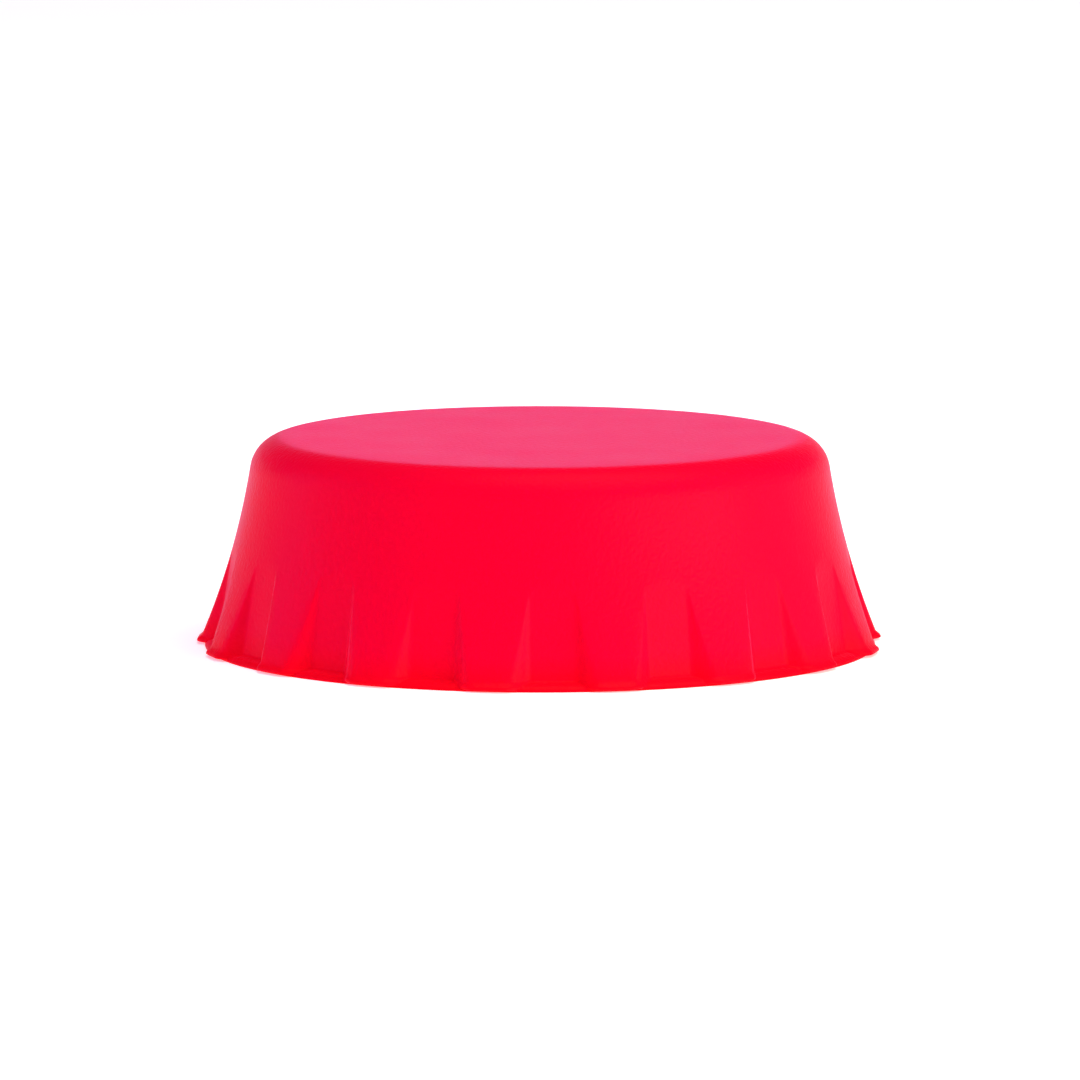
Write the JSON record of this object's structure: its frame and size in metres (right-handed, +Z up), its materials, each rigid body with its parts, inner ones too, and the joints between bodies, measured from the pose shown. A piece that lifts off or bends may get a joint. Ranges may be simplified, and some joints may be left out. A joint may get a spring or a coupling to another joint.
{
  "type": "bottle cap",
  "caption": "Round push-on bottle cap of soft silicone rubber, with a flat top, a hollow-curved skirt fluted towards its hem, and a bore below that snaps over a bottle's rim.",
  "frame": {"origin": "centre of the hem's underside, on the cap's axis", "axes": "+Z up along the cap's axis, through the flat top; the middle of one flute faces -Y"},
  "size_m": [0.033, 0.0329, 0.01],
  "materials": {
    "silicone": "soft matte moulded silicone, bright red"
  },
  "bodies": {
    "root": {"cap": "silicone"}
  },
  "joints": []
}
